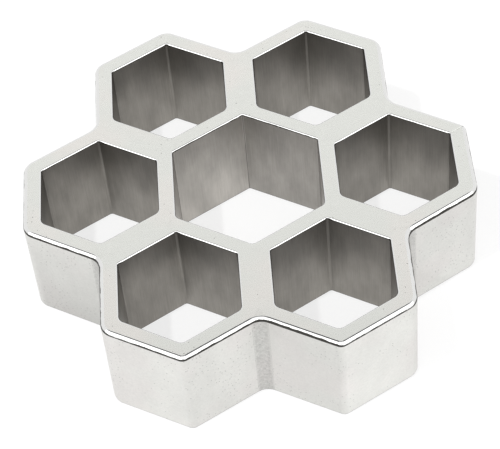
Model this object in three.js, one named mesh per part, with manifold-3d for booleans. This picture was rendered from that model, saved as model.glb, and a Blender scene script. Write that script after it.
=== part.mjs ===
// Honeycomb grid: six equal hexagonal steel sleeves brazed flat to flat in a ring. The seventh
// cell, in the middle, has no sleeve of its own: the inner flats of the six enclose it. Each
// joint is a braze film between two flats, closed by a weld fillet in the notch outside and by
// a smaller one in the corner of the core. Millimetres, +Z up, origin at the centre of the base.
import * as THREE from "three";
import { mergeVertices } from "three/addons/utils/BufferGeometryUtils.js";
import Module from "manifold-3d";

// Driving dimensions
const HEIGHT = 22.2;
const CELL_FLATS = 22; // bore of a sleeve, across flats
const JOINT_WALL = 2.95; // sleeve wall at its two mating flats
const CORE_WALL = 3.1; // sleeve wall at the flat that faces the core
const OUTER_WALL = 3.43; // sleeve wall at its three outer flats
const BRAZE_GAP = 0.1; // thickness of the film between two mating flats
const OUTER_CORNER_RADIUS = 3.1;
const BORE_CORNER_RADIUS = 1.4;
const NOTCH_RADIUS = 3.1; // face of the weld outside, between two sleeves
const NOTCH_GROOVE_DEPTH = 2.2; // weld groove outside, measured along the joint
const CORE_CORNER_RADIUS = 1.4; // face of the weld in a corner of the core
const CORE_GROOVE_DEPTH = 1.1; // weld groove in the core, measured along the joint
const TOP_EDGE_RADIUS = 0.8; // rounding of the top edge, round the outside
const FOOT_EDGE_BREAK = 0.4; // chamfer of the bottom edge, round the outside
const BORE_EDGE_BREAK = 0.2; // chamfer at both ends of each cell

const STEEL = { color: 0xcfcdc8, roughness: 0.35, metalness: 1 };
const WELD_STEEL = { color: 0xc8c6c1, roughness: 0.3, metalness: 1 };
const BRAZE_ALLOY = { color: 0xc4c2ba, roughness: 0.4, metalness: 1 };

const ARC_DIVISIONS = 3; // three.js doubles this on an arc: six chords for each 60-degree corner
const EDGE_DIVISIONS = 5; // chords in the rounding of the top edge
const PAST = 1; // how far a cutting tool runs past the ends it cuts

// Derived dimensions
const SIDES = 6; // of a cell, and so the number of sleeves round the core
const STEP = (2 * Math.PI) / SIDES;
const HALF_STEP = STEP / 2;
const PITCH = CELL_FLATS + 2 * JOINT_WALL + BRAZE_GAP; // centre of the core to the centre of a cell
const OUTER_APOTHEM = CELL_FLATS / 2 + OUTER_WALL;
const CORE_APOTHEM = PITCH - CELL_FLATS / 2 - CORE_WALL;
const NOTCH_DISTANCE = (OUTER_APOTHEM + PITCH * Math.cos(STEP)) / Math.cos(HALF_STEP);
const CORE_CORNER_DISTANCE = CORE_APOTHEM / Math.cos(HALF_STEP);

const wasm = await Module();
wasm.setup();

function polar(distance, angle) {
  return new THREE.Vector2(distance * Math.cos(angle), distance * Math.sin(angle));
}

// A closed mesh as a manifold-3d solid.
function solidOf(geometry) {
  const bare = geometry.clone();
  bare.deleteAttribute("normal");
  bare.deleteAttribute("uv");
  const merged = mergeVertices(bare);
  return new wasm.Manifold(
    new wasm.Mesh({
      numProp: 3,
      vertProperties: new Float32Array(merged.attributes.position.array),
      triVerts: new Uint32Array(merged.index.array),
    }),
  );
}

// A manifold-3d solid as flat-shaded three.js geometry.
function geometryOf(solid) {
  const mesh = solid.getMesh();
  const geometry = new THREE.BufferGeometry();
  geometry.setAttribute("position", new THREE.BufferAttribute(mesh.vertProperties, 3));
  geometry.setIndex(new THREE.BufferAttribute(mesh.triVerts, 1));
  const faceted = geometry.toNonIndexed();
  faceted.computeVertexNormals();
  return faceted;
}

// A counter-clockwise polygon whose corners are rounded to the radius that each one carries.
// The turn at a corner is left where the outline bulges and right where it is notched.
function roundedShape(corners) {
  const shape = new THREE.Shape();
  corners.forEach(({ point, radius }, i) => {
    const before = corners[(i + corners.length - 1) % corners.length].point;
    const after = corners[(i + 1) % corners.length].point;
    const back = before.clone().sub(point).normalize();
    const ahead = after.clone().sub(point).normalize();
    const half = Math.acos(back.dot(ahead)) / 2;
    const inward = back.clone().add(ahead).normalize();
    const centre = point.clone().addScaledVector(inward, radius / Math.sin(half));
    const start = point.clone().addScaledVector(back, radius / Math.tan(half)).sub(centre);
    const end = point.clone().addScaledVector(ahead, radius / Math.tan(half)).sub(centre);
    const clockwise = back.cross(ahead) > 0;
    shape.absarc(centre.x, centre.y, radius, start.angle(), end.angle(), clockwise);
  });
  return shape;
}

// A hexagon with two of its flats square to X.
function hexagon(apothem, radius, centreX) {
  const corners = [];
  for (let i = 0; i < SIDES; i++) {
    const point = polar(apothem / Math.cos(HALF_STEP), i * STEP + HALF_STEP);
    point.x += centreX;
    corners.push({ point, radius });
  }
  return roundedShape(corners);
}

// The outline of the whole ring: two outer corners for each sleeve, then the notch after it.
function ringOutline() {
  const corners = [];
  for (let i = 0; i < SIDES; i++) {
    const centre = polar(PITCH, i * STEP);
    for (const side of [-1, 1]) {
      const offset = polar(OUTER_APOTHEM / Math.cos(HALF_STEP), i * STEP + side * HALF_STEP);
      corners.push({ point: centre.clone().add(offset), radius: OUTER_CORNER_RADIUS });
    }
    corners.push({ point: polar(NOTCH_DISTANCE, i * STEP + HALF_STEP), radius: NOTCH_RADIUS });
  }
  return roundedShape(corners);
}

// The ring's outline extruded, with both of its edges taken back by the given size.
function ringBlock(size, segments) {
  return new THREE.ExtrudeGeometry(ringOutline(), {
    depth: HEIGHT,
    curveSegments: ARC_DIVISIONS,
    bevelThickness: size,
    bevelSize: size,
    bevelOffset: -size,
    bevelSegments: segments,
  });
}

// The ring without its cells. One block gives the rounded top edge, the other the chamfered foot,
// and the other end of each block lies outside the ring's height.
function ringBody() {
  const fromTop = ringBlock(TOP_EDGE_RADIUS, EDGE_DIVISIONS);
  const fromFoot = ringBlock(FOOT_EDGE_BREAK, 1);
  fromTop.translate(0, 0, -TOP_EDGE_RADIUS);
  fromFoot.translate(0, 0, FOOT_EDGE_BREAK);
  return solidOf(fromTop).intersect(solidOf(fromFoot));
}

// The tool that cuts a hexagonal cell right through, with a chamfer at both ends.
function cellCutter(apothem, radius, centreX) {
  const shape = hexagon(apothem, radius, centreX);
  const straight = new THREE.ExtrudeGeometry(shape, {
    depth: HEIGHT + 2 * PAST,
    curveSegments: ARC_DIVISIONS,
    bevelEnabled: false,
  });
  straight.translate(0, 0, -PAST);
  const flare = {
    depth: PAST,
    curveSegments: ARC_DIVISIONS,
    bevelThickness: BORE_EDGE_BREAK,
    bevelSize: BORE_EDGE_BREAK,
    bevelSegments: 1,
  };
  const top = new THREE.ExtrudeGeometry(shape, flare);
  const foot = top.clone();
  top.translate(0, 0, HEIGHT);
  foot.translate(0, 0, -PAST);
  return solidOf(straight).add(solidOf(top)).add(solidOf(foot));
}

// A straight-sided block over the given points, running past the base and the top.
function sector(points) {
  const block = new THREE.ExtrudeGeometry(new THREE.Shape(points), {
    depth: HEIGHT + 2 * PAST,
    bevelEnabled: false,
  });
  block.translate(0, 0, -PAST);
  return solidOf(block);
}

// The four points that shape a joint, on the side of it that belongs to the sleeve at angle 0.
// The joint runs outwards from the core's corner to the notch, half a step round from the sleeve.
function jointPoints() {
  const toSleeve = polar(BRAZE_GAP / 2, HALF_STEP - Math.PI / 2);
  const tangent = Math.tan(HALF_STEP);
  return {
    coreEdge: new THREE.Vector2(CORE_APOTHEM, (CORE_APOTHEM - CORE_CORNER_RADIUS) * tangent),
    coreRoot: polar(CORE_CORNER_DISTANCE + CORE_GROOVE_DEPTH, HALF_STEP).add(toSleeve),
    notchRoot: polar(NOTCH_DISTANCE - NOTCH_GROOVE_DEPTH, HALF_STEP).add(toSleeve),
    notchEdge: polar(NOTCH_DISTANCE, HALF_STEP).add(polar(NOTCH_RADIUS * tangent, -HALF_STEP)),
  };
}

// The line from root through edge, carried on past the edge into free space.
function past(root, edge, reach) {
  return edge.clone().addScaledVector(edge.clone().sub(root).normalize(), reach);
}

// The same point on the other side of the joint, or with angle 0 on the other side of the sleeve.
function mirrored(point, angle) {
  return polar(point.length(), 2 * angle - point.angle());
}

const body = ringBody();
const core = cellCutter(CORE_APOTHEM, CORE_CORNER_RADIUS, 0);
const joint = jointPoints();
const outside = past(joint.notchRoot, joint.notchEdge, PITCH);
const inside = past(joint.coreRoot, joint.coreEdge, CORE_WALL);

function sleeveGeometry() {
  const side = [inside, joint.coreRoot, joint.notchRoot, outside];
  const otherSide = side.map((point) => mirrored(point, 0)).reverse();
  const bore = cellCutter(CELL_FLATS / 2, BORE_CORNER_RADIUS, PITCH);
  const blank = sector([...side, ...otherSide]).intersect(body);
  return geometryOf(blank.subtract(core).subtract(bore));
}

// What lies between a line of points and its mirror image across the joint.
function jointGeometry(...side) {
  const otherSide = side.map((point) => mirrored(point, HALF_STEP)).reverse();
  return geometryOf(sector([...side, ...otherSide]).intersect(body).subtract(core));
}

// One copy of a piece for each sleeve, named by number and turned to its place in the ring.
function roundTheRing(name, geometry, finish) {
  const ring = new THREE.Group();
  for (let i = 0; i < SIDES; i++) {
    const piece = new THREE.Mesh(geometry, new THREE.MeshStandardMaterial(finish));
    piece.name = `${name}_${i + 1}`;
    piece.rotation.z = i * STEP;
    ring.add(piece);
  }
  return ring;
}

const grid = new THREE.Group();
grid.add(roundTheRing("hex_sleeve", sleeveGeometry(), STEEL));
grid.add(roundTheRing("notch_weld", jointGeometry(joint.notchRoot, outside), WELD_STEEL));
grid.add(roundTheRing("braze_film", jointGeometry(joint.coreRoot, joint.notchRoot), BRAZE_ALLOY));
grid.add(roundTheRing("core_weld", jointGeometry(inside, joint.coreRoot), WELD_STEEL));

export default grid;
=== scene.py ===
"""The looks of a small steel honeycomb: six hexagonal sleeves joined in a ring round an open core.

The CAD frame gives the ring's sizes. Each sleeve and each weld is rebuilt here as a fine mesh
with its real edges, Geometry Nodes set the pieces round the ring, and every surface gets the
finish that its own step of making left on it: drawn bores, ground ends, satin walls, a polished
rim and blasted welds.
"""

from __future__ import annotations

import logging
import math
from dataclasses import dataclass, field
from enum import Enum

import bpy
from mathutils import Matrix, Vector


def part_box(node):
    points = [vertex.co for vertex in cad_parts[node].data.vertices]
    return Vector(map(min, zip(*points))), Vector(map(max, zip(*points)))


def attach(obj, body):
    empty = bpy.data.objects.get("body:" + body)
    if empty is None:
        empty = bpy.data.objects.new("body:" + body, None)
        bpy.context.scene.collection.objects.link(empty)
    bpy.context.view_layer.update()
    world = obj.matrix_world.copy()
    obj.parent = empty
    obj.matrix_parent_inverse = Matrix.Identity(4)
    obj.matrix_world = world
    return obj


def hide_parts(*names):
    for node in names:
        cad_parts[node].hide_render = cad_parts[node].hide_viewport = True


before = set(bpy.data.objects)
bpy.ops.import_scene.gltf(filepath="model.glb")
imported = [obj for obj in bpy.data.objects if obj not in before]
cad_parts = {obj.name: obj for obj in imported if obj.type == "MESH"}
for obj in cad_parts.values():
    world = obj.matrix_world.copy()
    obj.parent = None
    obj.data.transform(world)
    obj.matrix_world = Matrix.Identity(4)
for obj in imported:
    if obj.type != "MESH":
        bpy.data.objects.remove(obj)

MM = 0.001
BODY = "root"
PLACES = 6
TURN = 2 * math.pi / PLACES
HALF_TURN = TURN / 2
WHITE = (1.0, 1.0, 1.0, 1.0)

Pair = tuple[float, float]
Colour = tuple[float, float, float]
Socket = bpy.types.NodeSocket

log = logging.getLogger("honeycomb")


class Run(Enum):
    """What a stretch of an outline, seen from above, is on the real piece."""

    OUTSIDE = "outer wall, open to the air"
    JOINT = "mating flat or weld groove, hidden against its neighbour"
    CORE = "wall of the core"


class Band(Enum):
    """Where a strip of faces lies on a piece, from its base to its top."""

    FOOT = "rounding of the bottom edge"
    WALL = "upright wall"
    RIM = "rounding of the top edge"
    BREAK = "fine rounding of a bore's edge"
    BORE = "wall of a bore"


class Coat(Enum):
    """The finish that a face carries; the value is the number stored on the face."""

    GROUND = 0
    SATIN = 1
    POLISHED = 2
    DRAWN = 3
    BLASTED = 4
    RUBBED = 5


class Nodes:
    """A node tree under construction."""

    def __init__(self, tree: bpy.types.NodeTree) -> None:
        """Takes up a tree."""
        self.tree = tree

    def add(
        self, kind: str, inputs: dict[str | int, object] | None = None, **settings: object
    ) -> bpy.types.Node:
        """Adds a node.

        Args:
            kind: the node's type name.
            inputs: a constant or another node's output for each input, by its name or number.
            settings: values for the node's own properties.

        Returns:
            The new node.
        """
        node = self.tree.nodes.new(kind)
        for key, value in settings.items():
            setattr(node, key, value)
        for key, value in (inputs or {}).items():
            self.feed(node.inputs[key], value)
        return node

    def feed(self, socket: Socket, value: object) -> None:
        """Gives a socket a constant, or links it to another node's output.

        Args:
            socket: the input.
            value: the constant or the output.
        """
        if isinstance(value, Socket):
            self.tree.links.new(value, socket)
        else:
            socket.default_value = value

    def calc(self, operation: str, first: object, second: object) -> Socket:
        """A calculation with two numbers, each a socket or a constant."""
        return self.add("ShaderNodeMath", {0: first, 1: second}, operation=operation).outputs["Value"]

    def span(
        self, value: Socket, low: float, high: float, to_low: float, to_high: float, smooth: bool = False
    ) -> Socket:
        """Maps one range onto another, without going past its ends.

        Args:
            value: what is mapped.
            low: the value that becomes to_low.
            high: the value that becomes to_high.
            to_low: the result at low.
            to_high: the result at high.
            smooth: whether the change eases in and out.

        Returns:
            A value socket.
        """
        inputs = {"Value": value, "From Min": low, "From Max": high, "To Min": to_low, "To Max": to_high}
        kind = "SMOOTHSTEP" if smooth else "LINEAR"
        return self.add("ShaderNodeMapRange", inputs, interpolation_type=kind).outputs["Result"]

    def mix(self, share: Socket, first: Socket, second: Socket) -> Socket:
        """A shader between two others; the share is how much of the second it has."""
        return self.add("ShaderNodeMixShader", {"Fac": share, 1: first, 2: second}).outputs["Shader"]


class Surface(Nodes):
    """A metal under construction, with short calls for the nodes that the finishes share."""

    def __init__(self, name: str, colour: Colour, roughness: float) -> None:
        """Starts a metal.

        Args:
            name: the material's name.
            colour: the metal's colour where nothing changes it.
            roughness: the roughness where nothing changes it.
        """
        self.material = bpy.data.materials.new(name)
        self.material.use_nodes = True
        super().__init__(self.material.node_tree)
        self.shader = self.tree.nodes["Principled BSDF"]
        for title, value in (("Base Color", (*colour, 1.0)), ("Roughness", roughness), ("Metallic", 1.0)):
            self.shader.inputs[title].default_value = value

    def place(self, stretch: Colour = (1.0, 1.0, 1.0)) -> Socket:
        """The place on the object in millimetres.

        Args:
            stretch: how much finer the pattern is along X, Y and Z.

        Returns:
            A vector socket.
        """
        where = self.add("ShaderNodeTexCoord").outputs["Object"]
        scale = [s / MM for s in stretch]
        return self.add("ShaderNodeVectorMath", {0: where, 1: scale}, operation="MULTIPLY").outputs["Vector"]

    def noise(self, place: Socket, scale: float, detail: float = 2.0, rough: float = 0.5) -> Socket:
        """Cloudy noise.

        Args:
            place: the vector that the noise reads, in millimetres.
            scale: how many features there are to a millimetre.
            detail: how many finer layers are added.
            rough: how strong the finer layers are.

        Returns:
            A value socket, mostly from 0.3 to 0.7.
        """
        inputs = {"Vector": place, "Scale": scale, "Detail": detail, "Roughness": rough}
        return self.add("ShaderNodeTexNoise", inputs).outputs["Fac"]

    def vary(self, noise: Socket, low: float, high: float) -> Socket:
        """A number that a noise moves between two others."""
        return self.span(noise, 0.3, 0.7, low, high)

    def spots(self, place: Socket, spacing: float, radius: float, share: Socket) -> Socket:
        """Scattered round spots, such as pits.

        Args:
            place: the vector that the spots read, in millimetres.
            spacing: the distance between the places where a spot can be, in millimetres.
            radius: a spot's radius in millimetres.
            share: the share of those places that has a spot.

        Returns:
            A value socket, 1 in the middle of a spot and 0 outside.
        """
        cells = self.add("ShaderNodeTexVoronoi", {"Vector": place, "Scale": 1 / spacing}, feature="F1")
        depth = self.span(cells.outputs["Distance"], radius / spacing, 0.0, 0.0, 1.0)
        chance = self.add("ShaderNodeSeparateColor", {"Color": cells.outputs["Color"]}).outputs["Red"]
        return self.calc("MULTIPLY", depth, self.calc("LESS_THAN", chance, share))

    def blend(self, share: Socket, first: object, second: object) -> Socket:
        """A colour between two others.

        Args:
            share: 0 gives the first and 1 the second.
            first: a socket or a colour.
            second: a socket or a colour.

        Returns:
            A colour socket.
        """
        ends = [end if isinstance(end, Socket) else (*end, 1.0) for end in (first, second)]
        inputs = {"Factor": share, 6: ends[0], 7: ends[1]}
        return self.add("ShaderNodeMix", inputs, data_type="RGBA").outputs[2]

    def tint(self, colour: object, factor: Socket) -> Socket:
        """A colour, given as a socket or as numbers, made lighter or darker by a varying factor."""
        inputs = {0: colour, "Scale": factor}
        return self.add("ShaderNodeVectorMath", inputs, operation="SCALE").outputs["Vector"]

    def attribute(self, name: str) -> Socket:
        """A number that the mesh stores."""
        return self.add("ShaderNodeAttribute", attribute_name=name).outputs["Fac"]

    def relief(self, height: Socket, depth: float, under: Socket | None = None) -> Socket:
        """Turns a height into a bumped normal.

        Args:
            height: the height, from 0 to 1.
            depth: what a height of 1 stands for, in millimetres.
            under: the normal of another relief below this one, or None.

        Returns:
            A normal socket.
        """
        inputs = {"Strength": 1.0, "Distance": depth * MM, "Height": height}
        if under is not None:
            inputs["Normal"] = under
        return self.add("ShaderNodeBump", inputs).outputs["Normal"]

    def finish(self, colour: Socket, roughness: Socket, normal: Socket) -> bpy.types.Material:
        """Links what varies to the shader.

        Args:
            colour: the varying colour.
            roughness: the varying roughness.
            normal: the bumped normal.

        Returns:
            The finished material.
        """
        for title, socket in (("Base Color", colour), ("Roughness", roughness), ("Normal", normal)):
            self.feed(self.shader.inputs[title], socket)
        return self.material


def shade(colour: Colour, factor: float) -> Colour:
    """A colour made darker by a factor."""
    return tuple(c * factor for c in colour)


@dataclass(frozen=True)
class Pits:
    """Small open pits, in patches.

    spacing and radius are in millimetres; share is how many of the places have a pit, and patch
    how many patches there are to a millimetre.
    """

    spacing: float
    radius: float
    share: float
    patch: float = 0.12

    def on(self, s: Surface) -> Socket:
        """How deep the pits are at each place of a surface, with few of them where it is light.

        Args:
            s: the surface.

        Returns:
            A value socket, from 0 to 1.
        """
        patches = s.span(s.noise(s.place(), self.patch), 0.45, 0.62, 0.03, 1.0)
        share = s.span(s.attribute("tone"), 0.92, 1.0, self.share, self.share / 4)
        return s.spots(s.place(), self.spacing, self.radius, s.calc("MULTIPLY", patches, share))


@dataclass(frozen=True)
class GroundSteel:
    """The ends of the grid, ground flat together: fine straight scratches and a few open pits.

    The braze in the joints is ground with the sleeves, so it looks the same there.
    """

    name: str = "ground_steel"
    colour: Colour = (0.829, 0.837, 0.796)
    warm: Colour = (0.858, 0.839, 0.8)
    roughness: float = 0.26
    scratch_spacing: float = 0.12
    scratch_depth: float = 0.0025
    pits: Pits = Pits(1.0, 0.16, 1.2)
    pit_depth: float = 0.03
    dirt_shade: float = 0.3

    def material(self) -> bpy.types.Material:
        """Builds the material.

        Returns:
            The material.
        """
        s = Surface(self.name, self.colour, self.roughness)
        clouds = s.noise(s.place(), 0.8, 4.0, 0.62)
        hue = s.noise(s.place(), 0.06)
        scratches = s.noise(s.place((0.04, 1.0, 1.0)), 1 / self.scratch_spacing, 3.0, 0.7)
        pits = self.pits.on(s)
        base = s.blend(s.span(hue, 0.48, 0.62, 0.0, 1.0), self.colour, self.warm)
        tone = s.tint(base, s.vary(clouds, 0.965, 1.03))
        lined = s.tint(tone, s.span(scratches, 0.35, 0.7, 1.01, 0.975))
        darkening = s.calc("MAXIMUM", s.calc("MULTIPLY", pits, 0.6), s.attribute("sink"))
        roughness = s.vary(clouds, self.roughness - 0.03, self.roughness + 0.04)
        scratched = s.relief(scratches, self.scratch_depth)
        pitted = s.relief(s.calc("SUBTRACT", 1.0, pits), self.pit_depth, scratched)
        return s.finish(s.blend(darkening, lined, shade(self.colour, self.dirt_shade)), roughness, pitted)


@dataclass(frozen=True)
class SatinSteel:
    """The outer walls: tube skin, given a light rub, with small pits left in it. Each side is
    painted lighter or darker by its tone, which is painted shade, and the rounding of the foot
    carries a painted contact shadow.

    Where weld_depth is given, the skin turns towards the middle of a weld into the weld's own
    coarser and duller grain, which weld_shade darkens further as painted shade in the hollow of
    the notch.
    """

    name: str = "satin_steel"
    colour: Colour = (0.735, 0.733, 0.705)
    warm: Colour = (0.738, 0.722, 0.7)
    roughness: float = 0.33
    grain_depth: float = 0.004
    foot_shade: float = 0.42
    weld_shade: float = 1.0
    weld_depth: float = 0.0
    pits: Pits = Pits(0.65, 0.17, 1.8)
    pit_depth: float = 0.02
    dirt_shade: float = 0.35

    def material(self) -> bpy.types.Material:
        """Builds the material. The attribute "across" is below 0 in the rounding of the foot.

        Returns:
            The material.
        """
        s = Surface(self.name, self.colour, self.roughness)
        clouds = s.noise(s.place((1.0, 1.0, 0.6)), 0.12, 4.0, 0.6)
        hue = s.noise(s.place(), 0.09)
        grain = s.noise(s.place((1.0, 1.0, 0.35)), 4.0, 3.0, 0.7)
        speckle = s.noise(s.place(), 2.2, 4.0, 0.7)
        pits = self.pits.on(s)
        base = s.blend(s.span(hue, 0.45, 0.6, 0.0, 1.0), self.colour, self.warm)
        # painted contact shadow: the foot's rounding darkens to foot_shade towards the floor
        foot_shadow = s.span(s.attribute("across"), -0.18, -0.02, self.foot_shade, 1.0)
        # painted shade: the side's tone times the painted contact shadow
        rubbed_and_shaded = s.calc("MULTIPLY", s.attribute("tone"), foot_shadow)
        mottled = s.calc("MULTIPLY", s.vary(clouds, 0.95, 1.05), s.vary(speckle, 0.95, 1.05))
        tone = s.tint(base, s.calc("MULTIPLY", rubbed_and_shaded, mottled))
        roughness = s.vary(grain, self.roughness - 0.04, self.roughness + 0.05)
        relief = s.relief(grain, self.grain_depth)
        dark = shade(self.colour, self.dirt_shade)
        if self.weld_depth > 0:
            weld = s.span(s.attribute("middle"), 0.0, 0.4, 0.0, 1.0, True)
            # towards the weld's middle: its duller grain, darkened by weld_shade as painted shade in the
            # hollow of the notch
            weld_grain_and_shade = s.tint(tone, s.vary(speckle, 0.86 * self.weld_shade, 1.12 * self.weld_shade))
            toe = s.span(s.attribute("middle"), 0.04, 0.2, 1.0, 0.0)
            crack = s.calc("MULTIPLY", toe, s.span(speckle, 0.48, 0.62, 0.0, 0.9))
            tone = s.blend(crack, s.blend(weld, tone, weld_grain_and_shade), dark)
            relief = s.relief(s.calc("MULTIPLY", speckle, weld), self.weld_depth, relief)
        relief = s.relief(s.calc("SUBTRACT", 1.0, pits), self.pit_depth, relief)
        darkening = s.calc("MAXIMUM", s.calc("MULTIPLY", pits, 0.85), s.attribute("sink"))
        return s.finish(s.blend(darkening, tone, dark), roughness, relief)


@dataclass(frozen=True)
class PolishedSteel:
    """The rounded edges, buffed to a mirror, with a dark line below them: partly left by the
    buffing compound, partly a painted dark reflection.

    The line reaches up to border where the side is light, and up to wide_border where it is dark;
    the side's tone is painted shade, so that widening is painted reflection.
    """

    colour: Colour = (0.81, 0.81, 0.8)
    residue_and_reflection: Colour = (0.05, 0.048, 0.044)
    roughness: float = 0.07
    line_roughness: float = 0.35
    border: float = 0.28
    wide_border: float = 0.62
    wave_depth: float = 0.02

    def material(self) -> bpy.types.Material:
        """Builds the material. The attribute "across" runs from 0 at the wall to 1 at the end.

        Returns:
            The material.
        """
        s = Surface("polished_steel", self.colour, self.roughness)
        wander = s.vary(s.noise(s.place(), 0.45, 4.0, 0.6), -0.1, 0.1)
        # painted reflection: the dark line is wider on sides whose tone is painted darker
        border = s.span(s.attribute("tone"), 0.8, 0.98, self.wide_border, self.border)
        where = s.calc("SUBTRACT", s.calc("ADD", s.attribute("across"), wander), border)
        line = s.span(where, -0.04, 0.04, 1.0, 0.0, True)
        # the dark line (partly left by buffing, partly painted reflection) and the nicks
        darkening = s.calc("MAXIMUM", line, s.attribute("sink"))
        roughness = s.span(darkening, 0.0, 1.0, self.roughness, self.line_roughness)
        waves = s.relief(s.noise(s.place(), 0.5), self.wave_depth)
        return s.finish(s.blend(darkening, self.colour, self.residue_and_reflection), roughness, waves)


@dataclass(frozen=True)
class DrawnSteel:
    """Tube walls inside the grid: dull skin left by the drawing die, with fine upright lines.

    They are painted darker towards the top, over top_shade_reach in millimetres: painted shade.
    The walls of the core's welds are painted darker towards their corner too: painted shade.
    """

    name: str = "drawn_steel"
    colour: Colour = (0.282, 0.267, 0.243)
    roughness: float = 0.4
    top_shade: float = 0.65
    corner_shade: float = 0.42
    top_shade_reach: float = 12.0
    line_spacing: float = 0.2
    line_depth: float = 0.003

    def material(self, top: float) -> bpy.types.Material:
        """Builds the material.

        Args:
            top: the height of the grid, in millimetres.

        Returns:
            The material.
        """
        s = Surface(self.name, self.colour, self.roughness)
        height = s.add("ShaderNodeSeparateXYZ", {"Vector": s.place()}).outputs["Z"]
        drift = s.span(s.noise(s.place((1.0, 1.0, 0.4)), 0.09), 0.35, 0.65, -4.0, 4.0)
        level = s.calc("ADD", height, drift)
        # painted shade: darker towards the top
        painted_top_shade = s.span(level, top - self.top_shade_reach, top, 1.0, self.top_shade, True)
        lines = s.noise(s.place((1.0, 1.0, 0.03)), 1 / self.line_spacing, 3.0, 0.6)
        bands = s.noise(s.place((1.0, 1.0, 0.45)), 0.2, 4.0, 0.6)
        # painted shade in the corners of the core's welds
        corner = s.span(s.attribute("middle"), 0.45, 0.95, 1.0, self.corner_shade, True)
        wall = s.calc("MULTIPLY", s.calc("MULTIPLY", painted_top_shade, corner), s.attribute("tone"))
        banded = s.tint(s.tint(self.colour, wall), s.vary(bands, 0.85, 1.15))
        colour = s.tint(banded, s.vary(lines, 1.05, 0.94))
        roughness = s.vary(lines, self.roughness - 0.03, self.roughness + 0.05)
        return s.finish(colour, roughness, s.relief(lines, self.line_depth))


def polar(distance: float, angle: float) -> Vector:
    """A point in the plane, given by its distance from the origin and its angle."""
    return Vector((distance * math.cos(angle), distance * math.sin(angle)))


def fractions(steps: int) -> list[float]:
    """Even shares from 0 to 1."""
    return [i / steps for i in range(steps + 1)]


def between(first: Pair, second: Pair, share: float) -> Pair:
    """A pair of numbers between two others."""
    return tuple(a + (b - a) * share for a, b in zip(first, second))


@dataclass(frozen=True)
class RingSizes:
    """The sizes of the ring, in metres. The ones without a value come from the frame."""

    height: float
    reach: float
    core_apothem: float
    film: float
    core_root: float
    notch_root: float
    notch_radius: float
    notch_distance: float
    core_radius: float
    bore_apothem: float = 11 * MM
    outer_corner: float = 3.1 * MM
    worn_corner: float = 1.6 * MM
    near_bore_corner: float = 1.5 * MM
    far_bore_corner: float = 0.65 * MM
    near_core_corner: float = 1.25 * MM
    far_core_corner: float = 0.45 * MM
    rim_radius: float = 0.8 * MM
    foot_radius: float = 0.5 * MM
    edge_break: float = 0.32 * MM

    @classmethod
    def from_frame(cls) -> RingSizes:
        """Reads the sizes off the CAD nodes: the second joint runs straight along +Y.

        Returns:
            The sizes.
        """
        sleeve_low, sleeve_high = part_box("hex_sleeve_1")
        film_low, film_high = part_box("braze_film_2")
        notch_low, notch_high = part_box("notch_weld_2")
        core_low, core_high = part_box("core_weld_2")
        notch_radius = notch_high.x - notch_low.x
        return cls(
            height=sleeve_high.z,
            reach=sleeve_high.x,
            core_apothem=sleeve_low.x,
            film=film_high.x - film_low.x,
            core_root=film_low.y,
            notch_root=film_high.y,
            notch_radius=notch_radius,
            notch_distance=notch_high.y - notch_radius / 2 * math.tan(HALF_TURN),
            core_radius=core_high.x - core_low.x,
        )

    @property
    def pitch(self) -> float:
        """The distance from the middle of the core to the middle of a sleeve."""
        return 2 * (self.reach - self.notch_distance * math.cos(HALF_TURN))

    @property
    def outer_apothem(self) -> float:
        """The distance from the middle of a sleeve to its outer flats."""
        return self.reach - self.pitch

    @property
    def dressed(self) -> Pair:
        """The roundings of an edge outside, at the top and at the foot."""
        return self.rim_radius, self.foot_radius

    @property
    def fine(self) -> Pair:
        """The roundings of an edge in a bore or in the core, at the top and at the foot."""
        return self.edge_break, self.edge_break

    def grooves(self) -> dict[str, Vector]:
        """The edges and roots of the first sleeve's weld grooves, on its side with positive Y.

        Returns:
            The four points by name.
        """
        to_sleeve = polar(self.film / 2, HALF_TURN - math.pi / 2)
        lean = math.tan(HALF_TURN)
        return {
            "notch_edge": polar(self.notch_distance, HALF_TURN) + polar(self.notch_radius * lean, -HALF_TURN),
            "notch_root": polar(self.notch_root, HALF_TURN) + to_sleeve,
            "core_root": polar(self.core_root, HALF_TURN) + to_sleeve,
            "core_edge": Vector((self.core_apothem, (self.core_apothem - self.core_radius) * lean)),
        }


@dataclass(frozen=True)
class Knot:
    """A point of an outline, how it moves where an edge is rounded, and the top and foot radii."""

    point: Vector
    slide: Vector
    radii: Pair

    @classmethod
    def at_groove(cls, edge: Vector, root: Vector, normal: Vector, radii: Pair) -> Knot:
        """The knot at a weld groove's edge, which slides down the groove as the flat is taken back.

        Args:
            edge: where the groove meets the flat.
            root: the groove's root.
            normal: the direction that the flat faces.
            radii: the roundings at the top and at the foot.

        Returns:
            The knot.
        """
        down = (root - edge).normalized()
        return cls(edge, down / -down.dot(normal), radii)

    def towards(self, other: Knot, share: float) -> Knot:
        """The knot that lies a share of the way to another."""
        point = self.point.lerp(other.point, share)
        return Knot(point, self.slide.lerp(other.slide, share), between(self.radii, other.radii, share))

    def mirrored(self, angle: float) -> Knot:
        """The same knot on the other side of the line at an angle through the origin."""
        turned = [polar(v.length, 2 * angle - math.atan2(v.y, v.x)) for v in (self.point, self.slide)]
        return Knot(*turned, self.radii)


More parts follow.
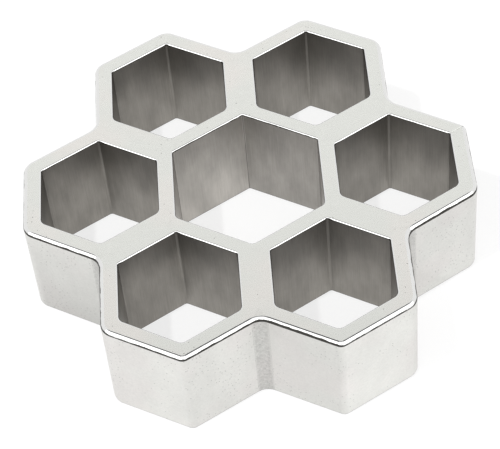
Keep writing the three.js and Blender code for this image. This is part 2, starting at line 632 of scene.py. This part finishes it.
@dataclass
class Outline:
    """A closed outline: its knots, and for the stretch after each knot its kind and its normals.

    tones holds how light the wall is at each knot, at its top and at its foot, and middle how
    near the knot is to the middle of a weld. Either can be left empty, for a plain wall.
    """

    knots: list[Knot] = field(default_factory=list)
    runs: list[Run] = field(default_factory=list)
    normals: list[tuple[Vector, Vector]] = field(default_factory=list)
    tones: list[Pair] = field(default_factory=list)
    middle: list[float] = field(default_factory=list)

    def line(self, start: Knot, end: Knot, steps: int, run: Run, normal: Vector | None = None) -> None:
        """Adds a straight stretch, without its end.

        Args:
            start: the knot that it starts from.
            end: the knot that it runs to.
            steps: how many parts it has.
            run: what the stretch is.
            normal: the direction that it faces, or None for the right of the way it runs.
        """
        if normal is None:
            along = end.point - start.point
            normal = Vector((along.y, -along.x)).normalized()
        for i in range(steps):
            self.knots.append(start.towards(end, i / steps))
            self.runs.append(run)
            self.normals.append((normal, normal))

    def arc(
        self, centre: Vector, radius: float, angles: list[float], facing: float, radii: Pair, run: Run
    ) -> None:
        """Adds a round stretch, without its end.

        Args:
            centre: the arc's centre.
            radius: the arc's radius.
            angles: the angles of its knots, with the one of its end last.
            facing: 1 where the surface faces away from the centre, -1 where it faces the centre.
            radii: the roundings at the top and at the foot.
            run: what the stretch is.
        """
        for here, there in zip(angles, angles[1:]):
            out = polar(facing, here)
            self.knots.append(Knot(centre + polar(radius, here), -out, radii))
            self.runs.append(run)
            self.normals.append((out, polar(facing, there)))


@dataclass(frozen=True)
class Nick:
    """A small round dent."""

    centre: Vector
    radius: float
    depth: float

    def sink(self, place: Vector) -> tuple[float, Vector]:
        """How far the surface sinks here, and how that depth grows.

        Args:
            place: a point on the plain surface.

        Returns:
            The depth and its slope.
        """
        away = place - self.centre
        depth = self.depth * math.exp(-away.length_squared / self.radius**2)
        return depth, away * (-2 * depth / self.radius**2)


@dataclass(frozen=True)
class Seam:
    """The hairline seam of a rolled tube, which crosses its wall at one corner."""

    corner: Vector
    angle: float
    reach: float
    half_width: float
    depth: float

    def sink(self, place: Vector) -> tuple[float, Vector]:
        """How far the surface sinks here, and how that depth grows.

        Args:
            place: a point on the plain surface.

        Returns:
            The depth and its slope.
        """
        away = Vector((place.x, place.y)) - self.corner
        along = polar(1, self.angle)
        if away.length > self.reach or away.dot(along) < -self.reach:
            return 0.0, Vector((0, 0, 0))
        across = Vector((-along.y, along.x))
        off = away.dot(across)
        depth = self.depth * math.exp(-((off / self.half_width) ** 2))
        return depth, Vector((*across, 0)) * (-2 * depth * off / self.half_width**2)


OUTER_BANDS = (Band.FOOT, Band.WALL, Band.RIM)
BORE_BANDS = (Band.BREAK, Band.BORE, Band.BREAK)

COATS: dict[tuple[Band, Run], Coat] = {
    **{(band, Run.JOINT): Coat.DRAWN for band in OUTER_BANDS},
    (Band.FOOT, Run.OUTSIDE): Coat.SATIN,
    (Band.WALL, Run.OUTSIDE): Coat.SATIN,
    (Band.RIM, Run.OUTSIDE): Coat.POLISHED,
    (Band.FOOT, Run.CORE): Coat.POLISHED,
    (Band.WALL, Run.CORE): Coat.RUBBED,
    (Band.RIM, Run.CORE): Coat.POLISHED,
}
WELD_COATS = {**COATS, (Band.FOOT, Run.OUTSIDE): Coat.BLASTED, (Band.WALL, Run.OUTSIDE): Coat.BLASTED}

# The walls of a bore face its middle, so the faces of these bands go round the other way.
BORE_COATS: dict[Band, Coat] = {Band.BORE: Coat.DRAWN, Band.BREAK: Coat.POLISHED}


@dataclass
class Solid:
    """A mesh under construction: upright walls over an outline, with dressed edges."""

    height: float
    coats: dict[tuple[Band, Run], Coat]
    marks: tuple[Nick | Seam, ...] = ()
    points: list[Vector] = field(default_factory=list)
    across: list[float] = field(default_factory=list)
    middle: list[float] = field(default_factory=list)
    tone: list[float] = field(default_factory=list)
    faces: list[tuple[int, ...]] = field(default_factory=list)
    normals: list[Vector] = field(default_factory=list)
    finishes: list[int] = field(default_factory=list)

    def ring(self, outline: Outline, share: float, upper: bool, below: float = 0.0) -> list[int]:
        """Adds one loop of points round an outline.

        Args:
            outline: the outline that the loop follows.
            share: where the loop lies in the rounding, from 0 on the wall to 1 on the end.
            upper: whether the loop belongs to the top edge.
            below: how far the loop lies below the rounding, for a row on the wall.

        Returns:
            The numbers of the loop's points.
        """
        tilt = math.pi / 2 * share
        edge = 0 if upper else 1
        first = len(self.points)
        for knot in outline.knots:
            radius = knot.radii[edge]
            flat = knot.point + knot.slide * radius * (1 - math.cos(tilt))
            drop = radius * (1 - math.sin(tilt)) + below
            self.points.append(Vector((*flat, self.height - drop if upper else drop)))
            self.across.append(share if upper else -share)
        self.middle += outline.middle or [0.0] * len(outline.knots)
        self.tone += [tones[edge] for tones in outline.tones or [(1.0, 1.0)] * len(outline.knots)]
        return list(range(first, len(self.points)))

    def strip(self, outline: Outline, lower: list[int], upper: list[int], tilts: Pair, band: Band) -> None:
        """Joins two loops of the same outline with faces.

        Args:
            outline: the outline that both loops follow, anticlockwise seen from above.
            lower: the lower loop.
            upper: the loop above it.
            tilts: the angle of the normal above the horizontal at each of the loops.
            band: where the strip lies.
        """
        way = -1 if band in BORE_COATS else 1
        for i, (start, end) in enumerate(outline.normals):
            j = (i + 1) % len(lower)
            self.faces.append((lower[i], lower[j], upper[j], upper[i])[::way])
            for flat, tilt in ((start, tilts[0]), (end, tilts[0]), (end, tilts[1]), (start, tilts[1]))[::way]:
                self.normals.append(Vector((*(flat * math.cos(tilt)), math.sin(tilt))))
            coat = BORE_COATS.get(band) or self.coats[band, outline.runs[i]]
            self.finishes.append(coat.value)

    def wall(
        self, outline: Outline, bands: tuple[Band, Band, Band], steps: int, rows: tuple[float, ...] = ()
    ) -> tuple[list[int], list[int]]:
        """Adds an upright wall with a rounding at its foot and one at its top.

        Args:
            outline: the outline that it follows.
            bands: the names of its foot, its middle and its top.
            steps: how many faces each rounding has.
            rows: how far below the upper rounding there are more loops, the lowest first.

        Returns:
            The lowest and the highest loop.
        """
        quarter = math.pi / 2
        loops = [(self.ring(outline, 1 - share, False), -quarter * (1 - share)) for share in fractions(steps)]
        loops += [(self.ring(outline, 0.0, True, below), 0.0) for below in rows]
        loops += [(self.ring(outline, share, True), quarter * share) for share in fractions(steps)]
        for i, ((lower, low_tilt), (upper, high_tilt)) in enumerate(zip(loops, loops[1:])):
            band = bands[0] if i < steps else bands[1] if i <= steps + len(rows) else bands[2]
            self.strip(outline, lower, upper, (low_tilt, high_tilt), band)
        return loops[0][0], loops[-1][0]

    def end(self, loop: list[int], inner: list[int] | None, up: bool) -> None:
        """Closes the top or the base with a ground face, or with a flat ring round a bore.

        Args:
            loop: the outer loop.
            inner: the bore's loop, matched point for point, or None.
            up: whether the end faces up.
        """
        normal = Vector((0, 0, 1 if up else -1))
        polygons = [tuple(loop)]
        if inner is not None:
            polygons = list(zip(loop, loop[1:] + loop[:1], inner[1:] + inner[:1], inner))
        for polygon in polygons:
            self.faces.append(polygon if up else polygon[::-1])
            self.normals += [normal] * len(polygon)
            self.finishes.append(Coat.GROUND.value)

    def dent(self) -> list[float]:
        """Sinks the marks into the surface and tilts the normals to suit.

        Returns:
            For each point, how much of a mark's own depth it has sunk.
        """
        sunk = [0.0] * len(self.points)
        if not self.marks:
            return sunk
        corners = [vertex for polygon in self.faces for vertex in polygon]
        facing = [Vector((0, 0, 0)) for _ in self.points]
        for vertex, normal in zip(corners, self.normals):
            facing[vertex] += normal
        plain = [point.copy() for point in self.points]
        for vertex, place in enumerate(plain):
            sink = sum(mark.sink(place)[0] for mark in self.marks)
            if sink > 0:
                self.points[vertex] = place - facing[vertex].normalized() * sink
                sunk[vertex] = min(1.0, sink / self.marks[0].depth)
        for corner, vertex in enumerate(corners):
            slope = sum((mark.sink(plain[vertex])[1] for mark in self.marks), Vector((0, 0, 0)))
            normal = self.normals[corner]
            self.normals[corner] = (normal + slope - normal * slope.dot(normal)).normalized()
        return sunk

    def mesh(self, name: str) -> bpy.types.Mesh:
        """Makes the mesh, with its normals, its finishes and the numbers that the finishes read.

        Args:
            name: the mesh's name.

        Returns:
            The mesh.
        """
        sunk = self.dent()
        mesh = bpy.data.meshes.new(name)
        mesh.from_pydata(self.points, [], self.faces)
        mesh.attributes.new("coat", "INT", "FACE").data.foreach_set("value", self.finishes)
        numbers = {"across": self.across, "middle": self.middle, "tone": self.tone, "sink": sunk}
        for title, values in numbers.items():
            mesh.attributes.new(title, "FLOAT", "POINT").data.foreach_set("value", values)
        mesh.shade_smooth()
        mesh.normals_split_custom_set(self.normals)
        return mesh


# How light a sleeve's sides are painted beside the plain finish, at the top and at the foot: painted
# shade, set side by side for how light falls on each, and on a rim a low tone widens its painted dark
# line. The key is the sleeve's place and the number of its side.
SIDE_TONES: dict[tuple[int, int], Pair] = {
    (0, 0): (0.94, 1.0),
    (0, 5): (0.9, 0.955),
    (1, 3): (0.9, 0.78),
    (2, 3): (0.9, 1.1),
    (3, 0): (0.93, 1.0),
    (3, 1): (0.93, 0.7),
    (4, 0): (0.98, 0.95),
    (4, 1): (0.94, 0.9),
    (4, 5): (0.87, 0.93),
    (5, 0): (1.0, 1.02),
    (5, 1): (0.9, 0.96),
    (5, 5): (0.88, 0.85),
}

# The same for the corners of a bore, which are painted a little darker: painted shade in the corners.
BORE_CORNER_TONE = (0.86, 0.9)

# The outer corners that are worn sharper than the rest: the sleeve's place and the corner.
WORN_CORNERS = ((0, 0), (4, 0), (5, 5))


def side_tone(place: int, side: int) -> Pair:
    """How light one side of a sleeve is, at its top and at its foot."""
    return SIDE_TONES.get((place % PLACES, side % PLACES), (1.0, 1.0))


@dataclass
class Sleeve:
    """One hexagonal sleeve, in place at the ring's first position, with +X through its middle.

    place is where in the ring it is going to be, which decides how its walls and corners look.
    Side 0 faces +X and corner 0 comes after it; the others follow anticlockwise.
    """

    sizes: RingSizes
    place: int
    marks: tuple[Nick | Seam, ...] = ()
    arc_steps: int = 14
    rounding_steps: int = 10
    break_steps: int = 3
    outside_step: float = 0.2 * MM
    hidden_steps: int = 10
    mark_rows: tuple[float, ...] = (2.4 * MM, 1.6 * MM, 1.1 * MM, 0.8 * MM, 0.6 * MM, 0.4 * MM, 0.2 * MM)
    seam_shares: tuple[float, ...] = (0.46, 0.47, 0.48, 0.49, 0.495, 0.5, 0.505, 0.51, 0.52, 0.53, 0.54)

    def corner_angles(self, corner: int) -> list[float]:
        """The angles of the knots round one corner, closer together where the seam can be."""
        shares = {*fractions(self.arc_steps), *(self.seam_shares if corner == 0 else ())}
        return [corner * TURN + share * TURN for share in sorted(shares)]

    def side_steps(self, side: int) -> int:
        """How many parts a side has: outer flats are finer than the ones in the joints."""
        length = 2 * self.sizes.outer_apothem * math.tan(HALF_TURN)
        return round(length / self.outside_step) if side in (0, 1, 5) else self.hidden_steps

    def rounding(self, corner: int) -> tuple[Vector, float]:
        """An outer corner; a sharper one keeps its tip where it was.

        Args:
            corner: the corner's number.

        Returns:
            The centre and the radius of its rounding.
        """
        s = self.sizes
        radius = s.worn_corner if (self.place, corner) in WORN_CORNERS else s.outer_corner
        tip = (s.outer_apothem - s.outer_corner) / math.cos(HALF_TURN) + s.outer_corner
        return Vector((s.pitch, 0)) + polar(tip - radius, corner * TURN + HALF_TURN), radius

    def tone(self, normal: Vector) -> Pair:
        """How light the wall is where it faces one way.

        Args:
            normal: the direction that it faces.

        Returns:
            How light it is at its top and at its foot.
        """
        # painted shade: how light the wall is painted, by the way it faces
        turned = math.atan2(normal.y, normal.x) / TURN % PLACES
        side = math.floor(turned + 1e-6)
        return between(side_tone(self.place, side), side_tone(self.place, side + 1), turned - side)

    def groove_knots(self) -> list[Knot]:
        """The knots at the weld grooves, from the notch on one side to the notch on the other.

        Returns:
            The edge and the root of each groove, in the outline's order.
        """
        s = self.sizes
        ends = s.grooves()
        still = Vector((0, 0))
        knots = [
            Knot.at_groove(ends["notch_edge"], ends["notch_root"], polar(1, TURN), s.dressed),
            Knot(ends["notch_root"], still, s.dressed),
            Knot(ends["core_root"], still, s.fine),
            Knot.at_groove(ends["core_edge"], ends["core_root"], polar(1, 3 * TURN), s.fine),
        ]
        return knots + [knot.mirrored(0) for knot in reversed(knots)]

    def outside(self) -> Outline:
        """The outline of the sleeve's outer faces, flats and corners in turn.

        Returns:
            The outline.
        """
        outline = Outline()
        inner = self.groove_knots()
        dressed = self.sizes.dressed
        normals = [polar(1, side * TURN) for side in range(PLACES)]

        def flat_end(side: int, corner: int) -> Knot:
            """Where an outer flat meets a rounded corner."""
            centre, radius = self.rounding(corner)
            return Knot(centre + normals[side] * radius, -normals[side], dressed)

        def flat(start: Knot, end: Knot, side: int, run: Run) -> None:
            """Adds one flat side."""
            outline.line(start, end, self.side_steps(side), run, normals[side])

        def turn(corner: int) -> None:
            """Adds a rounded corner."""
            outline.arc(*self.rounding(corner), self.corner_angles(corner), 1, dressed, Run.OUTSIDE)

        flat(flat_end(0, 5), flat_end(0, 0), 0, Run.OUTSIDE)
        turn(0)
        flat(flat_end(1, 0), inner[0], 1, Run.OUTSIDE)
        for side, run in ((2, Run.JOINT), (3, Run.CORE), (4, Run.JOINT)):
            edge, start, end = inner[2 * side - 4 : 2 * side - 1]
            outline.line(edge, start, self.arc_steps, Run.JOINT)
            flat(start, end, side, run)
        outline.line(inner[6], inner[7], self.arc_steps, Run.JOINT)
        flat(inner[7], flat_end(5, 5), 5, Run.OUTSIDE)
        turn(5)
        outline.tones = [self.tone(start) for start, _ in outline.normals]
        return outline

    def bore(self) -> Outline:
        """The outline of the bore, matched to the outer one knot for knot, going the same way round.

        Returns:
            The outline.
        """
        s = self.sizes
        corners = []
        for side in range(PLACES):
            far = (side + self.place) % PLACES < PLACES / 2
            radius = s.far_bore_corner if far else s.near_bore_corner
            away = polar((s.bore_apothem - radius) / math.cos(HALF_TURN), side * TURN + HALF_TURN)
            corners.append((Vector((s.pitch, 0)) + away, radius))
        outline = Outline()
        for side, (centre, radius) in enumerate(corners):
            out = polar(1, side * TURN)
            before, before_radius = corners[side - 1]
            start = Knot(before + out * before_radius, out, s.fine)
            end = Knot(centre + out * radius, out, s.fine)
            outline.line(start, end, self.side_steps(side), Run.JOINT, -out)
            outline.arc(centre, radius, self.corner_angles(side), -1, s.fine, Run.JOINT)
        outline.tones = [(1.0, 1.0) if start == end else BORE_CORNER_TONE for start, end in outline.normals]
        return outline

    def mesh(self) -> bpy.types.Mesh:
        """Builds the sleeve's mesh.

        Returns:
            The mesh.
        """
        solid = Solid(self.sizes.height, COATS, self.marks)
        rows = self.mark_rows if self.marks else ()
        low, high = solid.wall(self.outside(), OUTER_BANDS, self.rounding_steps, rows)
        bore_low, bore_high = solid.wall(self.bore(), BORE_BANDS, self.break_steps)
        solid.end(high, bore_high, True)
        solid.end(low, bore_low, False)
        return solid.mesh("sleeve_pattern")


@dataclass
class Weld:
    """A weld fillet in the joint after the first sleeve: the outer one or the one in the core."""

    sizes: RingSizes
    outer: bool
    place: int
    steps: int = 20
    rounding_steps: int = 10

    def knots(self) -> list[Knot]:
        """The knots where the weld meets the sleeves.

        Returns:
            The root and edge of the side where the outline begins, then the other edge and root.
        """
        s = self.sizes
        ends = s.grooves()
        radii = s.dressed if self.outer else s.fine
        name, facing = ("notch", 1) if self.outer else ("core", 3)
        edge, root = ends[f"{name}_edge"], ends[f"{name}_root"]
        at_edge = Knot.at_groove(edge, root, polar(1, facing * TURN), radii)
        knots = [Knot(root, Vector((0, 0)), radii), at_edge]
        knots += [knot.mirrored(HALF_TURN) for knot in reversed(knots)]
        return knots if self.outer else knots[::-1]

    def hollow(self, outline: Outline, start: Knot) -> None:
        """Adds the hollow face of an outer weld.

        Args:
            outline: the outline that it belongs to.
            start: the edge that it begins at.
        """
        radius = self.sizes.notch_radius
        centre = polar(self.sizes.notch_distance + radius / math.cos(HALF_TURN), HALF_TURN)
        angles = [math.pi + TURN - TURN * share for share in fractions(self.steps)]
        first = len(outline.knots)
        outline.arc(centre, radius, angles, -1, start.radii, Run.OUTSIDE)
        outline.knots[first] = start

    def corner(self, outline: Outline, start: Knot, end: Knot) -> None:
        """Adds the face of a weld in the core: a tight corner between two short flats.

        Args:
            outline: the outline that it belongs to.
            start: the edge that it begins at.
            end: the edge that it runs to.
        """
        s = self.sizes
        radius = s.far_core_corner if self.place < PLACES / 2 else s.near_core_corner
        centre = polar((s.core_apothem - radius) / math.cos(HALF_TURN), HALF_TURN)
        angles = [TURN - TURN * share for share in fractions(self.steps)]
        facing = [polar(-1, angle) for angle in (TURN, 0)]
        bends = [Knot(centre - out * radius, -out, start.radii) for out in facing]
        outline.line(start, bends[0], 1, Run.CORE, facing[0])
        outline.arc(centre, radius, angles, -1, start.radii, Run.CORE)
        outline.line(bends[1], end, 1, Run.CORE, facing[1])

    def outline(self) -> Outline:
        """The weld's outline: the sides hidden in its groove, and its face.

        Returns:
            The outline.
        """
        root, edge, far_edge, far_root = self.knots()
        outline = Outline()
        outline.line(root, edge, 1, Run.JOINT)
        if self.outer:
            self.hollow(outline, edge)
            tones = (side_tone(self.place, 1), side_tone(self.place + 1, 5))
        else:
            self.corner(outline, edge, far_edge)
            tones = (side_tone(self.place + 1, 3), side_tone(self.place, 3))
        outline.line(far_edge, far_root, 1, Run.JOINT)
        outline.line(far_root, root, 1, Run.JOINT)
        shares = fractions(len(outline.knots) - 1)
        outline.tones = [between(*tones, share) for share in shares]
        outline.middle = [1 - abs(2 * share - 1) for share in shares]
        return outline

    def mesh(self) -> bpy.types.Mesh:
        """Builds the weld's mesh.

        Returns:
            The mesh.
        """
        solid = Solid(self.sizes.height, WELD_COATS)
        low, high = solid.wall(self.outline(), OUTER_BANDS, self.rounding_steps)
        solid.end(high, None, True)
        solid.end(low, None, False)
        return solid.mesh("weld_pattern")


class RingTree(Nodes):
    """A Geometry Nodes tree that turns a piece to its place in the ring and dresses it."""

    def __init__(self, coats: dict[Coat, bpy.types.Material]) -> None:
        """Builds the tree.

        Args:
            coats: the material of each finish.
        """
        super().__init__(bpy.data.node_groups.new("ring_of_pieces", "GeometryNodeTree"))
        self.coats = coats
        self.socket("Piece", "Geometry")
        self.places = self.socket("Places", "Int")
        self.number = self.socket("Number", "Int")
        self.materials = {coat: self.socket(f"{coat.name.title()} Steel", "Material") for coat in coats}
        self.socket("Piece", "Geometry", "OUTPUT")
        self.build()

    def socket(self, name: str, kind: str, way: str = "INPUT") -> bpy.types.NodeTreeInterfaceSocket:
        """Adds an input or an output to the tree."""
        return self.tree.interface.new_socket(name, in_out=way, socket_type=f"NodeSocket{kind}")

    def same(self, first: Socket, second: object) -> Socket:
        """Whether two whole numbers are the same."""
        inputs = {2: first, 3: second}
        return self.add("FunctionNodeCompare", inputs, data_type="INT", operation="EQUAL").outputs["Result"]

    def build(self) -> None:
        """Lays out the nodes: a point for each place, the piece turned to suit, then the finishes."""
        given = self.add("NodeGroupInput").outputs
        index = self.add("GeometryNodeInputIndex").outputs["Index"]
        turn = self.calc("MULTIPLY", index, self.calc("DIVIDE", 2 * math.pi, given["Places"]))
        inputs = {
            "Points": self.add("GeometryNodePoints", {"Count": given["Places"]}).outputs["Points"],
            "Selection": self.same(index, given["Number"]),
            "Instance": given["Piece"],
            "Rotation": self.add("ShaderNodeCombineXYZ", {"Z": turn}).outputs["Vector"],
        }
        turned = self.add("GeometryNodeInstanceOnPoints", inputs).outputs["Instances"]
        shape = self.add("GeometryNodeRealizeInstances", {"Geometry": turned}).outputs["Geometry"]
        stored = self.add("GeometryNodeInputNamedAttribute", {"Name": "coat"}, data_type="INT")
        for coat, socket in self.materials.items():
            carried = self.same(stored.outputs["Attribute"], coat.value)
            inputs = {"Geometry": shape, "Selection": carried, "Material": given[socket.name]}
            shape = self.add("GeometryNodeSetMaterial", inputs).outputs["Geometry"]
        self.add("NodeGroupOutput", {0: shape})

    def place(self, pattern: bpy.types.Mesh, name: str, number: int) -> bpy.types.Object:
        """Makes the piece at one place of the ring, as a plain mesh.

        Args:
            pattern: the piece's mesh at the first place.
            name: the piece's name.
            number: its place, counted from 0.

        Returns:
            The piece, at the origin, with its place in its mesh.
        """
        source = bpy.data.objects.new(f"{name}_source", pattern)
        bpy.context.scene.collection.objects.link(source)
        modifier = source.modifiers.new("ring", "NODES")
        modifier.node_group = self.tree
        modifier[self.places.identifier] = PLACES
        modifier[self.number.identifier] = number
        for coat, socket in self.materials.items():
            modifier[socket.identifier] = self.coats[coat]
        graph = bpy.context.evaluated_depsgraph_get()
        shape = source.evaluated_get(graph)
        mesh = bpy.data.meshes.new_from_object(shape, preserve_all_data_layers=True, depsgraph=graph)
        mesh.name = name
        bpy.data.objects.remove(source)
        piece = bpy.data.objects.new(name, mesh)
        bpy.context.scene.collection.objects.link(piece)
        return piece


@dataclass
class Honeycomb:
    """The whole grid: its sleeves, welds and braze films, dressed and tied to the frame."""

    sizes: RingSizes
    seamed_sleeve: int = 0
    nicked_sleeve: int = 5
    nick_depth: float = 0.06 * MM

    def seam(self) -> Seam:
        """The hairline seam across the rim at the outer corner of the first sleeve.

        Returns:
            The seam.
        """
        s = self.sizes
        corner = Vector((s.pitch, 0)) + polar(s.outer_apothem / math.cos(HALF_TURN), HALF_TURN)
        return Seam(corner, HALF_TURN, reach=5.5 * MM, half_width=0.05 * MM, depth=0.07 * MM)

    def nicks(self) -> tuple[Nick, ...]:
        """The small dents in the rim beside the front notch, on the sleeve to its right.

        Returns:
            The dents, each from its distance from the notch, its depth below the top and its radius.
        """
        top = self.sizes.height
        start = self.sizes.grooves()["notch_edge"] * Vector((1, -1))
        along = polar(1, HALF_TURN)
        marks = ((0.8, 0.55, 0.16), (1.35, 0.75, 0.12), (2.1, 0.6, 0.2), (2.5, 0.8, 0.12), (3.6, 0.7, 0.16))
        return tuple(
            Nick(Vector((*(start + along * far * MM), top - low * MM)), size * MM, self.nick_depth)
            for far, low, size in marks
        )

    def coats(self) -> dict[Coat, bpy.types.Material]:
        """Makes the materials.

        Returns:
            The material of each finish.
        """
        top = self.sizes.height / MM
        rubbed_and_shaded = DrawnSteel("rubbed_steel", (0.418, 0.398, 0.37), roughness=0.38, top_shade=0.86)
        return {
            Coat.GROUND: GroundSteel().material(),
            Coat.SATIN: SatinSteel().material(),
            Coat.POLISHED: PolishedSteel().material(),
            Coat.DRAWN: DrawnSteel().material(top),
            Coat.BLASTED: SatinSteel("blasted_steel", weld_shade=0.8, weld_depth=0.03).material(),
            Coat.RUBBED: rubbed_and_shaded.material(top),
        }

    def build(self) -> None:
        """Makes every piece and ties it to the frame."""
        ring = RingTree(self.coats())
        marks = {self.seamed_sleeve: (self.seam(),), self.nicked_sleeve: self.nicks()}
        braze = GroundSteel("braze_alloy").material()
        for place in range(PLACES):
            number = place + 1
            pieces = (
                (Sleeve(self.sizes, place, marks.get(place, ())), "sleeve", "hex_sleeve", "sleeve_steel"),
                (Weld(self.sizes, True, place), "outer_weld", "notch_weld", "weld_steel"),
                (Weld(self.sizes, False, place), "inner_weld", "core_weld", "weld_steel"),
            )
            for shape, name, node, slot in pieces:
                self.tie(ring.place(shape.mesh(), f"{name}_{number}", place), f"{node}_{number}")
            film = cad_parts[f"braze_film_{number}"]
            film.data.materials.clear()
            film.data.materials.append(braze)
            log.info("braze_film_%d keeps its shape and takes %s", number, braze.name)

    def tie(self, piece: bpy.types.Object, node: str) -> None:
        """Ties a piece to the frame and reports it.

        Args:
            piece: the finished piece.
            node: the CAD node that it stands for.
        """
        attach(piece, BODY)
        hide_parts(node)
        log.info("%s stands for %s: %d faces", piece.name, node, len(piece.data.polygons))


@dataclass(frozen=True)
class View:
    """The camera: what it looks at, from where, and how it is held."""

    aim: Vector
    distance: float = 0.36742
    azimuth: float = math.radians(-0.930)
    elevation: float = math.radians(50.668)
    roll: float = math.radians(-5.973)
    lens: float = 143.5

    def camera(self) -> bpy.types.Object:
        """Makes the camera.

        Returns:
            The camera.
        """
        data = bpy.data.cameras.new("view")
        data.lens = self.lens
        data.sensor_width = 36.0
        data.clip_start = 0.01
        data.clip_end = 20.0
        camera = bpy.data.objects.new("view", data)
        level = math.cos(self.elevation)
        north, east = level * math.cos(self.azimuth), level * math.sin(self.azimuth)
        forward = Vector((east, north, -math.sin(self.elevation)))
        side = forward.cross(Vector((0, 0, 1))).normalized()
        right = side * math.cos(self.roll) + side.cross(forward) * math.sin(self.roll)
        axes = Matrix((right, right.cross(forward), -forward)).transposed().to_4x4()
        camera.matrix_world = Matrix.Translation(self.aim - forward * self.distance) @ axes
        bpy.context.scene.collection.objects.link(camera)
        return camera


@dataclass(frozen=True)
class Softbox:
    """A rectangular lamp that faces the object. Its brightness of 1 is as bright as white."""

    name: str
    azimuth: float
    elevation: float
    distance: float
    width: float
    height: float
    brightness: float
    mirrored: bool = True

    def build(self) -> None:
        """Makes the lamp."""
        data = bpy.data.lights.new(self.name, "AREA")
        data.shape = "RECTANGLE"
        data.size = self.width
        data.size_y = self.height
        data.energy = self.brightness * math.pi * self.width * self.height
        lamp = bpy.data.objects.new(self.name, data)
        place = polar(self.distance * math.cos(self.elevation), self.azimuth)
        lamp.location = (*place, self.distance * math.sin(self.elevation))
        lamp.rotation_euler = (math.pi / 2 - self.elevation, 0, self.azimuth + math.pi / 2)
        lamp.visible_glossy = self.mirrored
        bpy.context.scene.collection.objects.link(lamp)


@dataclass
class Studio:
    """A pale floor, two softboxes before the object, a small lamp high on the left and a room.

    Mirrored in the metal, the room is as bright as room, with a dark ring as bright as gap round
    its middle overhead; fill is how much it lights the rest. The edges of the ring and of its
    middle are angles from straight up, each from where it begins to fade in to where it ends.
    """

    floor_size: float = 6.0
    floor_glow: float = 0.72
    spread: float = math.radians(48)
    lift: float = math.radians(43)
    room: float = 0.96
    gap: float = 0.08
    fill: float = 0.42
    ring_edge: Pair = (math.radians(34), math.radians(24))
    middle_edge: Pair = (math.radians(16), math.radians(11))

    def build(self) -> None:
        """Makes the floor, the lamps and the room."""
        self.floor()
        front = math.radians(-90)
        for name, side in (("left softbox", -1), ("right softbox", 1)):
            azimuth = front + side * self.spread
            Softbox(name, azimuth, self.lift, distance=1.2, width=1.5, height=1.7, brightness=1.24).build()
        azimuth, elevation = math.radians(210), math.radians(67)
        Softbox("high lamp", azimuth, elevation, 1.5, 0.05, 0.05, brightness=1000.0, mirrored=False).build()
        self.world()
        bpy.context.scene.view_settings.view_transform = "Standard"

    def floor(self) -> None:
        """Makes the floor, which seen directly or in the metal is nearly white by itself."""
        mesh = bpy.data.meshes.new("floor")
        half = self.floor_size / 2
        corners = [(-half, -half, 0), (half, -half, 0), (half, half, 0), (-half, half, 0)]
        mesh.from_pydata(corners, [], [(0, 1, 2, 3)])
        material = bpy.data.materials.new("pale_floor")
        material.use_nodes = True
        n = Nodes(material.node_tree)
        n.tree.nodes.remove(n.tree.nodes["Principled BSDF"])
        matt = n.add("ShaderNodeBsdfDiffuse", {"Color": WHITE}).outputs["BSDF"]
        glow = n.add("ShaderNodeEmission").outputs["Emission"]
        share = n.calc("MULTIPLY", self.seen(n), self.floor_glow)
        n.feed(n.tree.nodes["Material Output"].inputs["Surface"], n.mix(share, matt, glow))
        mesh.materials.append(material)
        floor = bpy.data.objects.new("floor", mesh)
        bpy.context.scene.collection.objects.link(floor)

    def seen(self, n: Nodes) -> Socket:
        """What is seen directly or through the metal's reflections, and not as plain light.

        Args:
            n: the tree that it is for.

        Returns:
            A socket that is 1 for rays from the camera, and for reflected and refracted ones.
        """
        path = n.add("ShaderNodeLightPath").outputs
        direct = n.calc("MAXIMUM", path["Is Camera Ray"], path["Is Glossy Ray"])
        return n.calc("MAXIMUM", direct, path["Is Transmission Ray"])

    def world(self) -> None:
        """Makes the room: white where it is seen, pale with a dark ring above where it is mirrored."""
        world = bpy.data.worlds.new("room")
        bpy.context.scene.world = world
        world.use_nodes = True
        n = Nodes(world.node_tree)
        fill = n.tree.nodes["Background"]
        fill.inputs["Color"].default_value = WHITE
        fill.inputs["Strength"].default_value = self.fill
        way = n.add("ShaderNodeTexCoord").outputs["Generated"]
        ways = {0: way, 1: (0, 0, 1)}
        upward = n.add("ShaderNodeVectorMath", ways, operation="DOT_PRODUCT").outputs["Value"]
        ring = n.span(upward, *map(math.cos, self.ring_edge), self.room, self.gap, True)
        middle = n.span(upward, *map(math.cos, self.middle_edge), 0.0, self.room, True)
        camera = n.add("ShaderNodeLightPath").outputs["Is Camera Ray"]
        level = n.calc("MAXIMUM", n.calc("MAXIMUM", ring, middle), camera)
        pale = n.add("ShaderNodeBackground", {"Color": WHITE, "Strength": level}).outputs["Background"]
        room = n.mix(self.seen(n), fill.outputs["Background"], pale)
        n.feed(n.tree.nodes["World Output"].inputs["Surface"], room)


def main() -> None:
    """Builds the studio, the camera and the honeycomb, and notes the sizes."""
    logging.basicConfig(level=logging.INFO, format="%(name)s: %(message)s")
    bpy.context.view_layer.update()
    sizes = RingSizes.from_frame()
    log.info("pitch %.2f mm, outer apothem %.2f mm", sizes.pitch / MM, sizes.outer_apothem / MM)
    bpy.context.scene.camera = View(Vector((-0.263 * MM, -11.48 * MM, sizes.height))).camera()
    Studio().build()
    Honeycomb(sizes).build()


if __name__ == "__main__":
    main()
